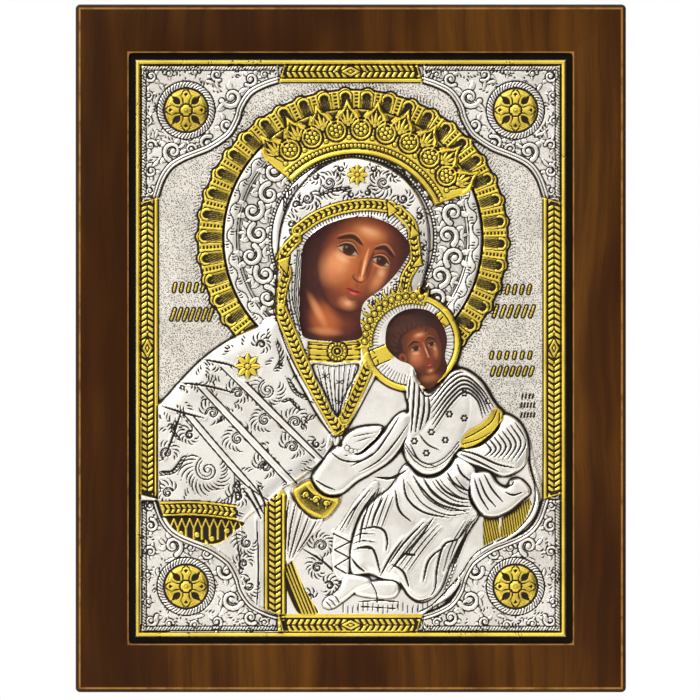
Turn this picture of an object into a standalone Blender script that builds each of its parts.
"""An icon panel to hang on a wall: an embossed metal cover over a painted panel, in a walnut board.

Metres, +Z up. The board's flat back lies in the plane y = 0, with the origin at its centre, and the
work faces -Y. The border of the cover is laid out from its edges in metres. The figures are drawn
in units of their own, DRAWING_HEIGHT of them to the cover's height, x to the right and y down.
"""

import math

import bmesh
import bpy
import numpy as np
from mathutils import Vector
from mathutils.geometry import delaunay_2d_cdt

# Board
BOARD_WIDTH = 0.240
BOARD_HEIGHT = 0.300
BOARD_THICKNESS = 0.020
BOARD_CORNER_RADIUS = 0.0020
BOARD_EDGE_ROUND = 0.0012
RECESS_DEPTH = 0.005
RECESS_MARGIN = 0.0028
RECESS_CORNER_RADIUS = 0.0020
SLOT_WIDTH = 0.009
SLOT_LENGTH = 0.030
SLOT_DEPTH = 0.008
SLOT_BELOW_TOP = 0.022
SLOT_END_SHARE = 0.495

# Panel and cover
COVER_WIDTH = 0.188
COVER_HEIGHT = 0.252
SHEET_THICKNESS = 0.0007
FOLD_THICKNESS = 0.0008
PANEL_THICKNESS = 0.0032
FIT_GAP = 0.0003

# Border of the cover
RIM_WIDTH = 0.0024
RIM_RISE = 0.0015
STRIP_WIDTH = 0.0078
STRIP_RISE = 0.0007
STRIP_BEAD_WIDTH = 0.0018
STRIP_BEAD_RISE = 0.0005
STRIP_SLANT = 0.0022
LONG_STRIP_LENGTH = 0.1320
SHORT_STRIP_LENGTH = 0.0630
DIAMOND_HALF_LENGTH = 0.0050
DIAMOND_HALF_WIDTH = 0.0028
DIAMOND_RISE = 0.0005
CORNER_RISE = 0.0005
CORNER_BEAD_WIDTH = 0.0018
CORNER_BEAD_RISE = 0.0007
ROUNDEL_INSET = 0.0222
ROUNDEL_RADIUS = 0.0126
ROUNDEL_RING_WIDTH = 0.0026
ROUNDEL_RING_RISE = 0.0009
ROSETTE_RADIUS = 0.0092
ROSETTE_RISE = 0.0011
ROSETTE_BEVEL = 0.0014
ROSETTE_BOSS_RADIUS = 0.0026
ROSETTE_BOSS_RISE = 0.0004
PETAL_LENGTH = 0.0056
PETAL_WIDTH = 0.0026
PETAL_DEPTH = 0.0007

# Heights of the figures over the ground of the cover
NIMBUS_HEIGHT = 0.0010
NIMBUS_RAY_RISE = 0.0006
HALO_BAND_HEIGHT = 0.0014
HALO_FIELD_HEIGHT = 0.0007
CROWN_HEIGHT = 0.0020
CROWN_ROSETTE_RISE = 0.0007
TUNIC_HEIGHT = 0.0018
MANTLE_HEIGHT = 0.0025
VEIL_HEIGHT = 0.0030
LINING_HEIGHT = 0.0012
CHILD_HALO_HEIGHT = 0.0033
ROBE_HEIGHT = 0.0034
CHILD_HEIGHT = 0.0040
HAND_HEIGHT = 0.0042
TRIM_RISE = 0.0005
FOLD_DEPTH = 0.0005
FOLD_HALF_WIDTH = 0.0009
RELIEF_BEVEL = 0.0005
DOME_RISE = 0.0007
DOME_REACH = 0.0055
MARK_RISE = 0.0005
MARK_WIDTH = 0.0012

# Drawing of the figures
DRAWING_HEIGHT = 580.0
DRAWING_CENTRE = (351.4, 350.0)
UNIT = COVER_HEIGHT / DRAWING_HEIGHT
CURVE_STEP = 0.0030
SURFACE_STEP = 0.0110
NEAREST_POINTS = 0.0002
MITRE_LIMIT = 0.25
LINE_TOLERANCE = 0.00018
COVERED_DEPTH = 0.0004

BOARD_FRONT = -BOARD_THICKNESS
RECESS_FLOOR = BOARD_FRONT + RECESS_DEPTH
PANEL_BACK = RECESS_FLOOR - FIT_GAP
PANEL_FRONT = PANEL_BACK - PANEL_THICKNESS
COVER_BACK = PANEL_FRONT - FIT_GAP
COVER_GROUND = COVER_BACK - SHEET_THICKNESS
BORDER_WIDTH = RIM_WIDTH + STRIP_WIDTH

# Places in the drawing
NIMBUS_CENTRE = (353.5, 240)
NIMBUS_RADII = (157, 151)
NIMBUS_INNER_RADIUS = 130
NIMBUS_ENDS = (-40, 220)
NIMBUS_RAYS = 24
HALO_BAND_INNER_RADIUS = 116
HALO_MOULDING_RADIUS = 79
CROWN_CENTRE = (356, 243)
CROWN_INNER_RADIUS = 88
CROWN_BEAD_RADIUS = 95
CROWN_ROSETTE_RING = 113
CROWN_VALLEY_RADIUS = 123
CROWN_TIP_RADIUS = 143
CROWN_FIRST_ROSETTE = 125.4
CROWN_PITCH = -12.8
CROWN_ROSETTES = 8
CROWN_BAND_POINTS = 24
CHILD_HALO_CENTRE = (412, 344)
CHILD_HALO_RADIUS = 50
CHILD_CROWN_RADII = (41, 50, 58)
CHILD_CROWN_ENDS = (78, 180)
CHILD_CROWN_TIPS = 7
COLLAR_BOSS = (338, 353)
COLLAR_BOSS_RADIUS = 10
COLLAR_BOSS_BEVEL = 3
NIMBUS_RAY_HALF_WIDTH = 4.2
HALO_MOULDING_HALF_WIDTH = 3.5
CROWN_BEAD_HALF_WIDTH = 3.2
CROWN_ROSETTE_RADIUS = 10.5
CROWN_ROSETTE_BEVEL = 2
CROWN_ROSETTE_EYE_RADIUS = 4
CHILD_HALO_RIM_RADIUS = 46.5
CHILD_HALO_RIM_HALF_WIDTH = 3
TUNIC_BAND_HALF_WIDTH = 9.5
HEM_HALF_WIDTH = 6.5
STAR_TIPS = 8
STAR_INNER_SHARE = 0.5
MARK_HALF_HEIGHT = 5
MARK_LEAN = 2.5
MARK_BEVEL_SHARE = 0.3
# Share of a band's half width that is flat
BAND_FLAT_SHARE = 0.75
RIM_FLAT_SHARE = 0.3
RAY_FLAT_SHARE = 0.55
# Share of a path's offset that a point must keep, or else the path has folded over there
KEPT_OFFSET = 0.9

MOTHER_WINDOW = [
    (303, 250), (310, 238), (325, 227), (345, 220), (366, 218), (386, 223), (402, 234),
    (411, 250), (401, 270), (384, 289), (365, 304), (361, 322), (359, 341),
    (310, 341), (301, 328), (300, 300), (301, 272),
]
CHILD_WINDOW = [
    (386, 342), (389, 325), (400, 314), (415, 310), (431, 313), (442, 324), (448, 340),
    (446, 358), (448, 371), (438, 384), (430, 391), (421, 385), (413, 368), (400, 362), (389, 352),
]
VEIL = [
    (276, 312), (277, 285), (278, 255), (283, 222), (296, 193), (320, 169), (350, 158),
    (382, 165), (408, 182), (425, 208), (431, 238), (428, 268), (420, 300), (409, 330),
    (392, 352), (374, 384), (352, 425), (341, 436), (333, 438), (318, 418), (305, 395),
    (291, 368), (281, 340),
]
FIGURE = [
    (60, 480), (110, 440), (160, 404), (178, 385), (203, 360), (230, 341), (255, 329),
    (276, 316), (330, 320), (400, 330), (430, 372), (465, 396), (496, 414), (520, 424), (530, 446),
    (532, 472), (541, 499), (534, 522), (510, 543), (483, 557), (468, 576), (453, 598),
    (430, 613), (400, 640), (330, 660), (240, 650), (120, 620), (60, 560),
]
MANTLE = [
    (60, 480), (110, 440), (160, 404), (178, 385), (203, 360), (230, 341), (255, 329),
    (279, 322), (292, 368), (306, 395), (320, 420), (334, 440), (327, 459), (312, 473),
    (294, 486), (286, 489), (268, 504), (250, 518), (240, 529), (219, 547), (196, 544),
    (160, 530), (110, 520), (60, 520),
]
MANTLE_LINING = [(150, 520), (200, 517), (243, 524), (236, 533), (219, 546), (196, 546), (150, 540)]
MANTLE_HEM = [(140, 512), (168, 511), (202, 511), (243, 517)]
SLEEVE_PLEATS = [(288, 493), (296, 505), (312, 520), (324, 522), (306, 546), (287, 567), (286, 530)]
LINING_FOLD = [
    (286, 563), (292, 561), (299, 577), (309, 598), (319, 616), (301, 618), (290, 600), (285, 582),
]
CUFF = [
    (311, 482), (318, 492), (328, 498), (341, 500), (335, 512), (325, 521), (312, 518),
    (300, 508), (293, 493), (300, 487),
]
COLLAR = [(308, 342), (335, 344), (362, 342), (362, 363), (335, 365), (309, 363)]
RIGHT_HAND = [
    (312, 479), (321, 465), (331, 452), (343, 447), (358, 455), (372, 446), (385, 432),
    (396, 418), (405, 413), (412, 417), (411, 429), (407, 442), (401, 453), (390, 465),
    (374, 475), (358, 484), (343, 496), (329, 498), (318, 491),
]
LEFT_HAND = [
    (472, 478), (479, 473), (491, 474), (499, 485), (508, 489), (511, 482), (520, 480),
    (529, 487), (532, 495), (523, 504), (511, 514), (496, 520), (484, 518), (475, 507), (470, 494),
]
UPPER_FOOT = [
    (342, 450), (343, 441), (350, 433), (364, 428), (383, 428), (380, 438), (371, 447),
    (360, 456), (348, 457),
]
CHILD_BODY = [
    (413, 369), (408, 382), (406, 395), (408, 410), (405, 430), (403, 448), (408, 464),
    (421, 476), (435, 477), (448, 469), (459, 453), (475, 444), (492, 430), (501, 414),
    (494, 401), (486, 387), (475, 376), (462, 370), (451, 373), (440, 386), (431, 394), (421, 386),
]
CHILD_SLEEVE = [
    (464, 389), (472, 400), (470, 424), (461, 446), (449, 462), (436, 472), (423, 472),
    (411, 460), (405, 446), (420, 433), (436, 414), (451, 397),
]
SASH = [
    (497, 409), (504, 413), (504, 421), (495, 434), (480, 446), (465, 451), (461, 446),
    (467, 434), (482, 425), (490, 417),
]
BACK_CLOTH = [
    (504, 416), (518, 421), (527, 434), (530, 448), (528, 464), (519, 474), (503, 479),
    (485, 471), (468, 465), (456, 457), (464, 450), (482, 446), (497, 432),
]
LOWER_ROBE = [
    (406, 466), (420, 477), (436, 478), (449, 469), (458, 458), (474, 467), (478, 478),
    (471, 492), (473, 505), (480, 517), (471, 532), (459, 552), (450, 571), (444, 588),
    (435, 600), (421, 605), (409, 599), (399, 586), (384, 582), (370, 577), (353, 577),
    (350, 560), (353, 540), (362, 516), (376, 500), (391, 489),
]
CASCADE = [
    (374, 482), (355, 503), (344, 521), (334, 538), (333, 572), (345, 586), (350, 574),
    (352, 545), (361, 516), (380, 489),
]
LONG_FOOT = [
    (345, 577), (356, 576), (370, 580), (371, 588), (358, 594), (345, 604), (332, 612),
    (323, 609), (325, 601), (338, 592),
]
SHORT_FOOT = [(356, 597), (356, 588), (372, 583), (394, 582), (401, 590), (394, 601), (374, 601)]

BROW_TRIM = [(298, 232), (318, 218), (343, 209), (368, 206), (391, 208)]
RIGHT_TRIM = [(399, 212), (412, 226), (415, 244), (416, 262), (408, 277), (403, 296)]
LEFT_TRIM = [(297, 240), (286, 252), (281, 263), (287, 273), (283, 288), (280, 306)]
LEFT_LAPEL = [(281, 312), (292, 338), (303, 365), (316, 390), (328, 412), (339, 431)]
RIGHT_LAPEL = [(369, 367), (361, 387), (352, 407), (345, 421)]
TRIM_HALF_WIDTH = 4.6

MANTLE_FOLDS = [
    [(226, 368), (272, 415), (320, 460)],
    [(202, 389), (246, 438), (292, 485)],
    [(189, 417), (222, 458), (252, 490), (266, 501)],
    [(203, 361), (235, 367), (252, 374)],
    [(178, 384), (208, 388), (238, 395)],
    [(182, 412), (174, 436), (165, 462)],
]
SLEEVE_FOLDS = [
    [(296, 505), (288, 530)],
    [(306, 513), (289, 548)],
    [(316, 519), (290, 560)],
]
HAND_FOLDS = [
    [(377, 449), (400, 416)],
    [(385, 455), (411, 422)],
    [(474, 480), (482, 499), (492, 513)],
    [(481, 477), (489, 493), (499, 508)],
    [(487, 475), (495, 490), (505, 504)],
]
CHILD_FOLDS = [
    [(414, 380), (416, 404), (418, 428)],
    [(424, 394), (424, 412), (424, 434)],
    [(457, 378), (440, 400), (428, 430)],
    [(468, 384), (476, 402), (470, 430), (458, 452)],
    [(480, 392), (486, 408), (478, 428)],
]
CLOTH_FOLDS = [
    [(468, 456), (486, 463), (505, 465), (524, 456)],
    [(505, 428), (512, 440), (506, 452)],
    [(516, 428), (522, 438), (514, 448)],
]
ROBE_FOLDS = [
    [(422, 482), (432, 500), (450, 511), (476, 512)],
    [(436, 482), (446, 496), (472, 506)],
    [(450, 474), (456, 486), (470, 493)],
    [(410, 486), (418, 506), (440, 517), (468, 518)],
    [(478, 518), (462, 538), (450, 556), (446, 580)],
    [(470, 520), (448, 542), (438, 566), (432, 592)],
    [(424, 524), (402, 544), (388, 560), (381, 578)],
    [(398, 504), (396, 530), (390, 552)],
    [(376, 532), (386, 540), (388, 556)],
    [(364, 548), (374, 552), (381, 572)],
    [(392, 566), (406, 574), (412, 588)],
]
CASCADE_FOLDS = [
    [(335, 533), (349, 542)],
    [(350, 543), (336, 551)],
    [(335, 552), (348, 561)],
    [(349, 562), (336, 570)],
    [(365, 498), (350, 524)],
]
TUNIC_BAND = [(275.5, 500), (275.5, 560), (275.5, 640)]
CHEST = [(311, 366), (335, 366), (361, 366), (347, 398), (338, 420), (324, 396)]
STARS = [((248, 368), 13), ((358, 176), 11)]
# Rows that stand for the lettering: left, right, height and number of strokes
MARK_ROWS = [
    (171, 214, 289, 3), (170, 214, 316, 5),
    (498, 534, 291, 3), (493, 537, 313, 4),
    (489, 535, 357, 4), (491, 536, 373, 5),
]


def wipe():
    for thing in list(bpy.data.objects):
        bpy.data.objects.remove(thing, do_unlink=True)


def finish_of(name, colour, metallic, roughness):
    made = bpy.data.materials.new(name)
    made.use_nodes = True
    shader = made.node_tree.nodes["Principled BSDF"]
    shader.inputs["Base Color"].default_value = (*colour, 1)
    shader.inputs["Metallic"].default_value = metallic
    shader.inputs["Roughness"].default_value = roughness
    made.diffuse_color = (*colour, 1)
    return made


def object_of(name, mesh, material, angle=35):
    made = bpy.data.objects.new(name, mesh)
    bpy.context.scene.collection.objects.link(made)
    mesh.materials.append(material)
    mesh.shade_smooth()
    mesh.set_sharp_from_angle(angle=math.radians(angle))
    return made


def placed(points):
    """Drawing points in metres, x and z from the middle of the cover."""
    return [((x - DRAWING_CENTRE[0]) * UNIT, (DRAWING_CENTRE[1] - y) * UNIT) for x, y in points]


def smooth(points, closed=False, step=CURVE_STEP):
    """Points about a step apart on the smooth curve through the given points."""
    fixed = [np.array(point, float) for point in points]
    count = len(fixed)
    made = []
    for i in range(count if closed else count - 1):
        here, there = fixed[i], fixed[(i + 1) % count]
        before = fixed[i - 1] if closed or i else 2 * here - there
        after = fixed[(i + 2) % count] if closed or i + 2 < count else 2 * there - here
        parts = max(1, round(float(np.linalg.norm(there - here)) / step))
        for part in range(parts):
            t = part / parts
            made.append(
                0.5
                * (
                    2 * here
                    + (there - before) * t
                    + (2 * before - 5 * here + 4 * there - after) * t**2
                    + (3 * here - before - 3 * there + after) * t**3
                )
            )
    if not closed:
        made.append(fixed[-1])
    return np.array(made)


def drawn(points, closed=False):
    return smooth(placed(points), closed)


def arc(centre, radii, start, end, count):
    """Points on an ellipse from one angle to another, in degrees, both ends included."""
    angles = np.radians(np.linspace(start, end, count))
    return np.column_stack((centre[0] + radii[0] * np.cos(angles), centre[1] + radii[1] * np.sin(angles)))


def circle(centre, radius, step=CURVE_STEP, least=8):
    sides = max(least, round(2 * math.pi * radius / step))
    return arc(centre, (radius, radius), 0, 360, sides + 1)[:-1]


def star(centre, radius, tips, inner_share):
    made = []
    for i in range(2 * tips):
        reach = radius if i % 2 == 0 else radius * inner_share
        angle = math.pi * i / tips + math.pi / 2
        made.append((centre[0] + reach * math.cos(angle), centre[1] + reach * math.sin(angle)))
    return np.array(made)


def distance(points, path, closed=False):
    """How far each point is from a path."""
    starts = np.asarray(path if closed else path[:-1])
    ends = np.roll(path, -1, axis=0) if closed else np.asarray(path[1:])
    run = ends - starts
    length = np.maximum((run**2).sum(axis=1), 1e-18)
    nearest = np.full(len(points), np.inf)
    for start, along, size in zip(starts, run, length):
        offset = points - start
        share = np.clip(offset @ along / size, 0, 1)
        gap = offset - share[:, None] * along
        nearest = np.minimum(nearest, (gap**2).sum(axis=1))
    return np.sqrt(nearest)


def depth_inside(points, outline):
    """How far each point is inside a closed outline, negative outside it."""
    x, y = points[:, 0], points[:, 1]
    inside = np.zeros(len(points), bool)
    for (ax, ay), (bx, by) in zip(outline, np.roll(outline, -1, axis=0)):
        if ay == by:
            continue
        crosses = ((ay > y) != (by > y)) & (x < (bx - ax) * (y - ay) / (by - ay) + ax)
        inside ^= crosses
    gap = distance(points, outline, closed=True)
    return np.where(inside, gap, -gap)


def moved_sideways(path, offset, closed):
    """The path moved to its left by the offset, corners mitred, without the stretches that fold over."""
    path = np.asarray(path)
    along = np.roll(path, -1, axis=0) - path
    along /= np.maximum(np.linalg.norm(along, axis=1), 1e-12)[:, None]
    normals = np.column_stack((-along[:, 1], along[:, 0]))
    before = np.roll(normals, 1, axis=0)
    if not closed:
        normals[-1] = before[-1]
        before[0] = normals[0]
    spread = np.maximum(1 + (normals * before).sum(axis=1), MITRE_LIMIT)
    made = path + offset * (normals + before) / spread[:, None]
    kept = distance(made, path, closed) > KEPT_OFFSET * abs(offset)
    return made[kept]


def filled_in(path, closed):
    """The same line with no two points further apart than CURVE_STEP."""
    made = []
    count = len(path)
    for i in range(count if closed else count - 1):
        here, there = path[i], path[(i + 1) % count]
        parts = max(1, math.ceil(float(np.linalg.norm(there - here)) / CURVE_STEP))
        made.extend(here + (there - here) * part / parts for part in range(parts))
    if not closed:
        made.append(path[-1])
    return np.array(made)


def thinned(path):
    """An open line without the points that it can lose and still keep its shape to LINE_TOLERANCE."""
    kept = np.zeros(len(path), bool)
    kept[[0, -1]] = True
    spans = [(0, len(path) - 1)]
    while spans:
        start, end = spans.pop()
        if end - start < 2:
            continue
        gap = distance(path[start + 1 : end], np.array((path[start], path[end])))
        worst = int(np.argmax(gap))
        if gap[worst] > LINE_TOLERANCE:
            middle = start + 1 + worst
            kept[middle] = True
            spans += [(start, middle), (middle, end)]
    return path[kept]


def turns_left(outline):
    after = np.roll(outline, -1, axis=0)
    return (outline[:, 0] * after[:, 1] - after[:, 0] * outline[:, 1]).sum() > 0


class Relief:
    """Raised work on a flat ground: the lines that its faces follow, and its height at any point."""

    def __init__(self):
        self.lines = []
        self.layers = []
        self.covers = []

    def height(self, points):
        heights = np.zeros(len(points))
        for layer in self.layers:
            heights = layer(points, heights)
        return heights

    def follow(self, path, closed=False):
        if len(path) > 1:
            self.lines.append((filled_in(np.asarray(path), closed), closed, len(self.layers)))

    def visible_lines(self):
        """Each line, whether it is closed, and which of its points no later plate covers."""
        for path, closed, made_at in self.lines:
            shows = np.ones(len(path), bool)
            for outline, covered_from in self.covers:
                if covered_from > made_at:
                    shows &= depth_inside(path, outline) < COVERED_DEPTH
            yield path, closed, shows

    def follow_inside(self, outline, inset):
        side = 1 if turns_left(outline) else -1
        line = moved_sideways(outline, side * inset, closed=True)
        if len(line) > 2:
            self.follow(line, closed=True)

    def plate(self, outline, top, dome=0.0, reach=DOME_REACH, bevel=RELIEF_BEVEL):
        """A raised area with a height of its own, over whatever lies under it."""
        outline = np.asarray(outline)
        self.covers.append((outline, len(self.layers)))
        self.follow(outline, closed=True)
        self.follow_inside(outline, bevel)
        if dome:
            self.follow_inside(outline, 0.5 * reach)

        def layer(points, heights):
            inside = depth_inside(points, outline)
            full = top + dome * (1 - (1 - np.clip(inside / reach, 0, 1)) ** 2)
            return heights + (full - heights) * np.clip(inside / bevel, 0, 1)

        self.layers.append(layer)

    def boss(self, outline, rise, bevel=RELIEF_BEVEL):
        """An area that stands out from what lies under it, or is sunk in it."""
        outline = np.asarray(outline)
        self.follow(outline, closed=True)
        self.follow_inside(outline, bevel)

        def layer(points, heights):
            return heights + rise * np.clip(depth_inside(points, outline) / bevel, 0, 1)

        self.layers.append(layer)

    def ridge(self, path, half_width, rise, closed=False, flat=0.0):
        """A bead, a band with a flat top or, with a negative rise, a groove along a path."""
        path = np.asarray(path)
        shoulder = flat * half_width
        for side in (1, -1):
            self.follow(moved_sideways(path, side * half_width, closed), closed)
            if shoulder:
                self.follow(moved_sideways(path, side * shoulder, closed), closed)
        if not shoulder:
            self.follow(path, closed)

        def layer(points, heights):
            gap = distance(points, path, closed)
            return heights + rise * np.clip((half_width - gap) / (half_width - shoulder), 0, 1)

        self.layers.append(layer)


def corner_curve(side, top):
    """The scrolled edge of one corner, from the end of a short strip to the end of a long one."""
    shares = [
        (1, 0), (0.9, 0.035), (0.785, 0.1), (0.71, 0.215), (0.68, 0.32), (0.62, 0.44),
        (0.55, 0.51), (0.43, 0.59), (0.3, 0.645), (0.2, 0.69), (0.115, 0.75), (0.05, 0.85), (0, 1),
    ]
    reach = (COVER_WIDTH - SHORT_STRIP_LENGTH) / 2 - BORDER_WIDTH
    drop = (COVER_HEIGHT - LONG_STRIP_LENGTH) / 2 - BORDER_WIDTH
    inner_x = COVER_WIDTH / 2 - BORDER_WIDTH
    inner_z = COVER_HEIGHT / 2 - BORDER_WIDTH
    places = [(side * (inner_x - across * reach), top * (inner_z - down * drop)) for across, down in shares]
    return smooth(places)


def field_outline():
    """The edge of the field that the figures stand in, from the bottom strip round by the right."""
    return np.concatenate(
        (corner_curve(1, -1), corner_curve(1, 1)[::-1], corner_curve(-1, 1), corner_curve(-1, -1)[::-1])
    )


def add_strip(relief, long_way, side):
    """One border strip with slanted ends, a bead along its inner edge and a diamond at its middle."""
    length = LONG_STRIP_LENGTH if long_way else SHORT_STRIP_LENGTH
    edge = (COVER_WIDTH if long_way else COVER_HEIGHT) / 2 - RIM_WIDTH
    inner = edge - STRIP_WIDTH

    def turned(along, across):
        return (side * across, along) if long_way else (along, side * across)

    outline = [
        turned(-length / 2, inner),
        turned(length / 2, inner),
        turned(length / 2 - STRIP_SLANT, edge),
        turned(STRIP_SLANT - length / 2, edge),
    ]
    relief.boss(np.array(outline), STRIP_RISE)
    bead = inner + STRIP_BEAD_WIDTH / 2
    path = [turned(-length / 2, bead), turned(length / 2, bead)]
    relief.ridge(np.array(path), STRIP_BEAD_WIDTH / 2, STRIP_BEAD_RISE)
    middle = (inner + STRIP_BEAD_WIDTH + edge) / 2
    diamond = [
        turned(-DIAMOND_HALF_LENGTH, middle),
        turned(0, middle + DIAMOND_HALF_WIDTH),
        turned(DIAMOND_HALF_LENGTH, middle),
        turned(0, middle - DIAMOND_HALF_WIDTH),
    ]
    relief.boss(np.array(diamond), DIAMOND_RISE)


def add_corner(relief, side, top):
    """One corner: its raised ground, the bead along its scrolled edge, and a rosette in a ring."""
    curve = corner_curve(side, top)
    corner = (side * (COVER_WIDTH / 2 - RIM_WIDTH), top * (COVER_HEIGHT / 2 - RIM_WIDTH))
    (first_x, first_z), (last_x, last_z) = curve[0], curve[-1]
    ends = [(last_x + side * STRIP_WIDTH, last_z), corner, (first_x, first_z + top * STRIP_WIDTH)]
    half_bead = CORNER_BEAD_WIDTH / 2
    relief.boss(np.concatenate((curve, ends)), CORNER_RISE, bevel=half_bead)
    relief.ridge(moved_sideways(curve, -side * top * half_bead, closed=False), half_bead, CORNER_BEAD_RISE)
    centre = (side * (COVER_WIDTH / 2 - ROUNDEL_INSET), top * (COVER_HEIGHT / 2 - ROUNDEL_INSET))
    ring = circle(centre, ROUNDEL_RADIUS - ROUNDEL_RING_WIDTH / 2)
    relief.ridge(ring, ROUNDEL_RING_WIDTH / 2, ROUNDEL_RING_RISE, closed=True)
    relief.boss(circle(centre, ROSETTE_RADIUS), ROSETTE_RISE, bevel=ROSETTE_BEVEL)
    reach = (ROSETTE_RADIUS + ROSETTE_BOSS_RADIUS) / 2
    for quarter in range(4):
        angle = math.radians(45 + 90 * quarter)
        along = np.array((math.cos(angle), math.sin(angle)))
        across = np.array((-along[1], along[0]))
        middle = np.array(centre) + reach * along
        half_length, half_width = PETAL_LENGTH / 2 * along, PETAL_WIDTH / 2 * across
        tips = [middle - half_length, middle + half_width, middle + half_length, middle - half_width]
        relief.boss(np.array(tips), -PETAL_DEPTH)
    relief.boss(circle(centre, ROSETTE_BOSS_RADIUS), ROSETTE_BOSS_RISE)


def add_border(relief):
    rim = rectangle(COVER_WIDTH - RIM_WIDTH, COVER_HEIGHT - RIM_WIDTH)
    relief.ridge(rim, RIM_WIDTH / 2, RIM_RISE, closed=True, flat=RIM_FLAT_SHARE)
    for side in (-1, 1):
        add_strip(relief, True, side)
        add_strip(relief, False, side)
        for top in (-1, 1):
            add_corner(relief, side, top)


def ring_part(centre, radii, inner_radius, ends, step=CURVE_STEP):
    """The outline of a part of a flat ring, in metres, from the drawing's centre and radii."""
    middle = placed([centre])[0]
    outer = (radii[0] * UNIT, radii[1] * UNIT)
    inner = inner_radius * UNIT
    turn = math.radians(ends[1] - ends[0])
    outside = arc(middle, outer, ends[0], ends[1], max(8, round(turn * outer[0] / step)))
    inside = arc(middle, (inner, inner), ends[1], ends[0], max(8, round(turn * inner / step)))
    return np.concatenate((outside, inside))


def add_nimbus(relief):
    """The ring of rays, the band inside it and the field round the head."""
    relief.plate(ring_part(NIMBUS_CENTRE, NIMBUS_RADII, NIMBUS_INNER_RADIUS, NIMBUS_ENDS), NIMBUS_HEIGHT)
    centre = placed([NIMBUS_CENTRE])[0]
    first, last = NIMBUS_ENDS
    for ray in range(NIMBUS_RAYS):
        angle = math.radians(first + (ray + 0.5) * (last - first) / NIMBUS_RAYS)
        along = np.array((math.cos(angle), math.sin(angle)))
        reach = np.array([[NIMBUS_INNER_RADIUS + 1], [NIMBUS_RADII[1] - 2]]) * UNIT
        path = centre + reach * along
        relief.ridge(path, NIMBUS_RAY_HALF_WIDTH * UNIT, NIMBUS_RAY_RISE, flat=RAY_FLAT_SHARE)
    relief.plate(circle(centre, NIMBUS_INNER_RADIUS * UNIT), HALO_BAND_HEIGHT)
    relief.plate(circle(centre, HALO_BAND_INNER_RADIUS * UNIT), HALO_FIELD_HEIGHT)
    moulding = circle(centre, HALO_MOULDING_RADIUS * UNIT)
    relief.ridge(moulding, HALO_MOULDING_HALF_WIDTH * UNIT, TRIM_RISE, closed=True)


def add_crown(relief):
    """The crown over the veil: a band, a row of rosettes and a leaf between each two."""
    centre = np.array(placed([CROWN_CENTRE])[0])
    first = CROWN_FIRST_ROSETTE - CROWN_PITCH / 2
    last = first + CROWN_PITCH * CROWN_ROSETTES
    edge = []
    for i in range(2 * CROWN_ROSETTES + 1):
        angle = math.radians(first + i * CROWN_PITCH / 2)
        reach = CROWN_TIP_RADIUS if i % 2 == 0 else CROWN_VALLEY_RADIUS
        edge.append(centre + UNIT * reach * np.array((math.cos(angle), math.sin(angle))))
    inner = CROWN_INNER_RADIUS * UNIT
    band = arc(centre, (inner, inner), last, first, CROWN_BAND_POINTS)
    relief.plate(np.concatenate((np.array(edge), band)), CROWN_HEIGHT, bevel=2 * RELIEF_BEVEL)
    bead = CROWN_BEAD_RADIUS * UNIT
    bead_line = arc(centre, (bead, bead), last + 2, first - 2, CROWN_BAND_POINTS)
    relief.ridge(bead_line, CROWN_BEAD_HALF_WIDTH * UNIT, TRIM_RISE)
    for i in range(CROWN_ROSETTES):
        angle = math.radians(CROWN_FIRST_ROSETTE + i * CROWN_PITCH)
        middle = centre + CROWN_ROSETTE_RING * UNIT * np.array((math.cos(angle), math.sin(angle)))
        flower = circle(middle, CROWN_ROSETTE_RADIUS * UNIT)
        relief.boss(flower, CROWN_ROSETTE_RISE, bevel=CROWN_ROSETTE_BEVEL * UNIT)
        relief.boss(circle(middle, CROWN_ROSETTE_EYE_RADIUS * UNIT, least=6), -CROWN_ROSETTE_RISE)


def add_folds(relief, folds, half_width=FOLD_HALF_WIDTH):
    for fold in folds:
        relief.ridge(drawn(fold), half_width, -FOLD_DEPTH)


def add_mother(relief):
    """Tunic, mantle and veil of the mother, with their trims."""
    relief.plate(drawn(FIGURE, closed=True), TUNIC_HEIGHT)
    relief.ridge(drawn(TUNIC_BAND), TUNIC_BAND_HALF_WIDTH * UNIT, TRIM_RISE, flat=BAND_FLAT_SHARE)
    relief.plate(drawn(LINING_FOLD, closed=True), LINING_HEIGHT)
    relief.plate(drawn(MANTLE, closed=True), MANTLE_HEIGHT, DOME_RISE)
    add_folds(relief, MANTLE_FOLDS)
    relief.plate(drawn(MANTLE_LINING, closed=True), LINING_HEIGHT)
    relief.ridge(drawn(MANTLE_HEM), HEM_HALF_WIDTH * UNIT, TRIM_RISE, flat=BAND_FLAT_SHARE)
    relief.plate(drawn(SLEEVE_PLEATS, closed=True), TUNIC_HEIGHT + TRIM_RISE)
    add_folds(relief, SLEEVE_FOLDS)
    relief.plate(drawn(VEIL, closed=True), VEIL_HEIGHT, DOME_RISE)
    for path in (BROW_TRIM, RIGHT_TRIM, LEFT_TRIM, LEFT_LAPEL, RIGHT_LAPEL):
        relief.ridge(drawn(path), TRIM_HALF_WIDTH * UNIT, TRIM_RISE, flat=BAND_FLAT_SHARE)
    relief.plate(drawn(CHEST, closed=True), MANTLE_HEIGHT)
    relief.plate(np.array(placed(COLLAR)), VEIL_HEIGHT)
    brooch = circle(placed([COLLAR_BOSS])[0], COLLAR_BOSS_RADIUS * UNIT)
    relief.boss(brooch, TRIM_RISE, bevel=COLLAR_BOSS_BEVEL * UNIT)
    for centre, radius in STARS:
        relief.boss(star(placed([centre])[0], radius * UNIT, STAR_TIPS, STAR_INNER_SHARE), TRIM_RISE)


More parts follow.
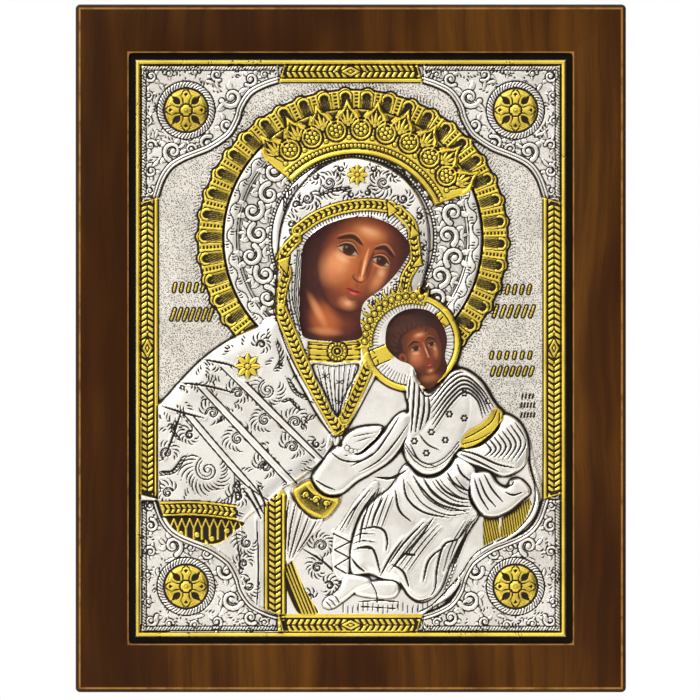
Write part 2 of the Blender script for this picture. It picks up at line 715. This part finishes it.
def add_child(relief):
    """The child on the mother's arm, and her hands that hold him."""
    centre = np.array(placed([CHILD_HALO_CENTRE])[0])
    relief.plate(circle(centre, CHILD_HALO_RADIUS * UNIT), CHILD_HALO_HEIGHT)
    rim = circle(centre, CHILD_HALO_RIM_RADIUS * UNIT)
    relief.ridge(rim, CHILD_HALO_RIM_HALF_WIDTH * UNIT, TRIM_RISE, closed=True)
    start, end = CHILD_CROWN_ENDS
    inner, valley, tip = CHILD_CROWN_RADII
    edge = []
    for i in range(2 * CHILD_CROWN_TIPS + 1):
        angle = math.radians(start + i * (end - start) / (2 * CHILD_CROWN_TIPS))
        reach = tip if i % 2 else valley
        edge.append(centre + UNIT * reach * np.array((math.cos(angle), math.sin(angle))))
    band = arc(centre, (inner * UNIT, inner * UNIT), end, start, 2 * CHILD_CROWN_TIPS)
    relief.plate(np.concatenate((np.array(edge), band)), CHILD_HALO_HEIGHT + TRIM_RISE)
    relief.plate(drawn(LOWER_ROBE, closed=True), ROBE_HEIGHT, DOME_RISE)
    add_folds(relief, ROBE_FOLDS)
    relief.plate(drawn(CASCADE, closed=True), MANTLE_HEIGHT)
    add_folds(relief, CASCADE_FOLDS)
    relief.plate(drawn(BACK_CLOTH, closed=True), ROBE_HEIGHT)
    add_folds(relief, CLOTH_FOLDS)
    relief.plate(drawn(CHILD_BODY, closed=True), CHILD_HEIGHT, DOME_RISE)
    relief.boss(drawn(CHILD_SLEEVE, closed=True), TRIM_RISE, bevel=2 * RELIEF_BEVEL)
    add_folds(relief, CHILD_FOLDS)
    relief.boss(drawn(SASH, closed=True), TRIM_RISE)
    relief.plate(drawn(SHORT_FOOT, closed=True), MANTLE_HEIGHT, DOME_RISE)
    relief.plate(drawn(LONG_FOOT, closed=True), MANTLE_HEIGHT, DOME_RISE)
    relief.plate(drawn(CUFF, closed=True), ROBE_HEIGHT)
    relief.plate(drawn(RIGHT_HAND, closed=True), HAND_HEIGHT, DOME_RISE)
    relief.plate(drawn(UPPER_FOOT, closed=True), HAND_HEIGHT + TRIM_RISE, DOME_RISE)
    relief.plate(drawn(LEFT_HAND, closed=True), HAND_HEIGHT, DOME_RISE)
    add_folds(relief, HAND_FOLDS, 0.6 * FOLD_HALF_WIDTH)


def add_marks(relief):
    """Rows of short strokes, where such a cover has its lettering."""
    for left, right, level, count in MARK_ROWS:
        for i in range(count):
            x = left + (i + 0.5) * (right - left) / count
            ends = placed([(x - MARK_LEAN, level + MARK_HALF_HEIGHT), (x + MARK_LEAN, level - MARK_HALF_HEIGHT)])
            low, high = np.array(ends)
            half = np.array((MARK_WIDTH / 2, 0))
            bar = np.array((low - half, low + half, high + half, high - half))
            relief.boss(bar, MARK_RISE, bevel=MARK_BEVEL_SHARE * MARK_WIDTH)


def outlines_of_windows():
    return [drawn(MOTHER_WINDOW, closed=True), drawn(CHILD_WINDOW, closed=True)]


def surface_points(field, windows):
    """Loose points that let the domed parts of the field curve."""
    rows = int(COVER_HEIGHT / SURFACE_STEP)
    columns = int(COVER_WIDTH / SURFACE_STEP)
    grid = np.array(
        [
            (
                (column + 0.5 * (row % 2)) * SURFACE_STEP - COVER_WIDTH / 2,
                row * SURFACE_STEP - COVER_HEIGHT / 2,
            )
            for row in range(rows)
            for column in range(columns)
        ]
    )
    kept = depth_inside(grid, field) > SURFACE_STEP / 2
    for window in windows:
        kept &= depth_inside(grid, window) < -RELIEF_BEVEL
    return grid[kept]


class Sketch:
    """Points and the edges between them, for the triangulation."""

    def __init__(self):
        self.points = []
        self.edges = []

    def add(self, path, closed, kept=None):
        """Adds a line, or the stretches of it whose points are kept."""
        count = len(path)
        kept = np.ones(count, bool) if kept is None else kept
        if closed:
            gaps = np.flatnonzero(~kept)
            turn = int(gaps[0]) if len(gaps) else 0
            path = np.roll(path, -turn, axis=0)[list(range(count)) + [0]]
            kept = np.roll(kept, -turn)[list(range(count)) + [0]]
        breaks = np.flatnonzero(np.diff(np.concatenate(([0], kept.astype(int), [0]))))
        for start, end in zip(breaks[::2], breaks[1::2]):
            stretch = thinned(path[start:end])
            first = len(self.points)
            self.points.extend(map(tuple, stretch))
            self.edges.extend((first + i, first + i + 1) for i in range(len(stretch) - 1))

    def triangles(self):
        flat = [Vector(point) for point in self.points]
        found = delaunay_2d_cdt(flat, self.edges, [], 0, NEAREST_POINTS, False)
        return np.array([tuple(point) for point in found[0]]), found[2]


def rectangle(width, height):
    corners = ((-1, -1), (1, -1), (1, 1), (-1, 1))
    return np.array([(x * width / 2, z * height / 2) for x, z in corners])


def make_cover(material):
    """The embossed sheet, flat behind, with its edge folded back round the panel."""
    border, figures = Relief(), Relief()
    add_border(border)
    add_nimbus(figures)
    add_crown(figures)
    add_mother(figures)
    add_child(figures)
    add_marks(figures)
    field = field_outline()
    windows = outlines_of_windows()

    sketch = Sketch()
    outer = rectangle(COVER_WIDTH, COVER_HEIGHT)
    sketch.add(outer, closed=True)
    for path, closed, shows in border.visible_lines():
        sketch.add(path, closed, shows)
    for window in windows:
        sketch.add(window, closed=True)
    for path, closed, shows in figures.visible_lines():
        shows &= depth_inside(path, field) > RELIEF_BEVEL
        for window in windows:
            shows &= depth_inside(path, window) < -RELIEF_BEVEL
        sketch.add(path, closed, shows)
    sketch.points.extend(map(tuple, surface_points(field, windows)))
    points, faces = sketch.triangles()

    inside = np.clip(depth_inside(points, field) / RELIEF_BEVEL, 0, 1)
    heights = border.height(points) + inside * figures.height(points)
    middles = np.array([points[list(face)].mean(axis=0) for face in faces])
    open_area = np.zeros(len(faces), bool)
    for window in windows:
        open_area |= depth_inside(middles, window) > 0

    shape = bmesh.new()
    verts = [shape.verts.new((x, COVER_GROUND - h, z)) for (x, z), h in zip(points, heights)]
    for face, is_open in zip(faces, open_area):
        if not is_open:
            shape.faces.new([verts[i] for i in face])
    shape.verts.ensure_lookup_table()
    loose = [vert for vert in shape.verts if not vert.link_faces]
    bmesh.ops.delete(shape, geom=loose, context="VERTS")
    close_back(shape)
    mesh = bpy.data.meshes.new("embossed_cover")
    shape.to_mesh(mesh)
    shape.free()
    return object_of("embossed_cover", mesh, material)


def close_back(shape):
    """Drops walls from the open edges, and closes the back with its folded edge."""
    edges = [edge for edge in shape.edges if edge.is_boundary]
    half_width, half_height = COVER_WIDTH / 2 - 1e-6, COVER_HEIGHT / 2 - 1e-6
    made = bmesh.ops.extrude_edge_only(shape, edges=edges)["geom"]
    rim_edges, window_edges = [], []
    for vert in (item for item in made if isinstance(item, bmesh.types.BMVert)):
        on_rim = abs(vert.co.x) > half_width or abs(vert.co.z) > half_height
        vert.co.y = PANEL_BACK if on_rim else COVER_BACK
    for edge in (item for item in made if isinstance(item, bmesh.types.BMEdge)):
        if edge.is_boundary and edge.verts[0].co.y > PANEL_FRONT:
            rim_edges.append(edge)
        elif edge.is_boundary:
            window_edges.append(edge)
    inner = rectangle(COVER_WIDTH - 2 * FOLD_THICKNESS, COVER_HEIGHT - 2 * FOLD_THICKNESS)
    low = [shape.verts.new((x, PANEL_BACK, z)) for x, z in inner]
    high = [shape.verts.new((x, COVER_BACK, z)) for x, z in inner]
    for i in range(4):
        there = (i + 1) % 4
        shape.faces.new((low[i], low[there], high[there], high[i]))
    low_edges = [shape.edges.get((low[i], low[(i + 1) % 4])) for i in range(4)]
    high_edges = [shape.edges.get((high[i], high[(i + 1) % 4])) for i in range(4)]
    bmesh.ops.triangle_fill(shape, use_beauty=True, edges=rim_edges + low_edges)
    bmesh.ops.triangle_fill(shape, use_beauty=True, edges=window_edges + high_edges)
    bmesh.ops.recalc_face_normals(shape, faces=shape.faces)
    bmesh.ops.triangulate(shape, faces=shape.faces)


def make_panel(material):
    """The thin painted panel under the cover."""
    width = COVER_WIDTH - 2 * (FOLD_THICKNESS + FIT_GAP)
    height = COVER_HEIGHT - 2 * (FOLD_THICKNESS + FIT_GAP)
    shape = bmesh.new()
    bmesh.ops.create_cube(shape, size=1)
    bmesh.ops.scale(shape, vec=(width, PANEL_THICKNESS, height), verts=shape.verts)
    bmesh.ops.translate(shape, vec=(0, (PANEL_BACK + PANEL_FRONT) / 2, 0), verts=shape.verts)
    mesh = bpy.data.meshes.new("painted_panel")
    shape.to_mesh(mesh)
    shape.free()
    return object_of("painted_panel", mesh, material)


def rounded_rectangle(width, height, radius, turns=5):
    made = []
    for quarter, (side, top) in enumerate(((1, 1), (-1, 1), (-1, -1), (1, -1))):
        centre = (side * (width / 2 - radius), top * (height / 2 - radius))
        made.extend(map(tuple, arc(centre, (radius, radius), 90 * quarter, 90 * quarter + 90, turns)))
    return made


def prism(shape, outline, back, front):
    """A closed prism along y over an outline in x and z."""
    face = shape.faces.new([shape.verts.new((x, back, z)) for x, z in outline])
    made = bmesh.ops.extrude_face_region(shape, geom=[face])["geom"]
    raised = [item for item in made if isinstance(item, bmesh.types.BMVert)]
    bmesh.ops.translate(shape, vec=(0, front - back, 0), verts=raised)
    bmesh.ops.recalc_face_normals(shape, faces=shape.faces)


def cutter_of(name, outline, back, front):
    shape = bmesh.new()
    prism(shape, outline, back, front)
    mesh = bpy.data.meshes.new(name)
    shape.to_mesh(mesh)
    shape.free()
    made = bpy.data.objects.new(name, mesh)
    bpy.context.scene.collection.objects.link(made)
    made.hide_render = True
    made.display_type = "WIRE"
    return made


def cut(target, cutter):
    made = target.modifiers.new(cutter.name, "BOOLEAN")
    made.operation = "DIFFERENCE"
    made.solver = "EXACT"
    made.object = cutter


def make_board(material):
    """The walnut board, its front edges rounded, with the recess in front and the slot behind."""
    shape = bmesh.new()
    prism(shape, rounded_rectangle(BOARD_WIDTH, BOARD_HEIGHT, BOARD_CORNER_RADIUS), 0, BOARD_FRONT)
    front = [
        edge for edge in shape.edges if all(abs(vert.co.y - BOARD_FRONT) < 1e-6 for vert in edge.verts)
    ]
    bmesh.ops.bevel(shape, geom=front, offset=BOARD_EDGE_ROUND, segments=3, profile=0.5, affect="EDGES")
    mesh = bpy.data.meshes.new("walnut_board")
    shape.to_mesh(mesh)
    shape.free()
    board = object_of("walnut_board", mesh, material)
    recess = rounded_rectangle(
        COVER_WIDTH + 2 * RECESS_MARGIN, COVER_HEIGHT + 2 * RECESS_MARGIN, RECESS_CORNER_RADIUS
    )
    clear = RECESS_DEPTH + BOARD_THICKNESS
    cut(board, cutter_of("recess_cutter", recess, RECESS_FLOOR, RECESS_FLOOR - clear))
    slot_height = BOARD_HEIGHT / 2 - SLOT_BELOW_TOP
    ends = rounded_rectangle(SLOT_LENGTH, SLOT_WIDTH, SLOT_END_SHARE * SLOT_WIDTH)
    slot = [(x, z + slot_height) for x, z in ends]
    cut(board, cutter_of("slot_cutter", slot, SLOT_DEPTH, -SLOT_DEPTH))
    return board


def main():
    wipe()
    make_board(finish_of("dark walnut", (0.10, 0.045, 0.018), 0.0, 0.35))
    make_panel(finish_of("panel paint", (0.45, 0.18, 0.06), 0.0, 0.4))
    make_cover(finish_of("silvered metal", (0.86, 0.83, 0.78), 1.0, 0.3))


main()
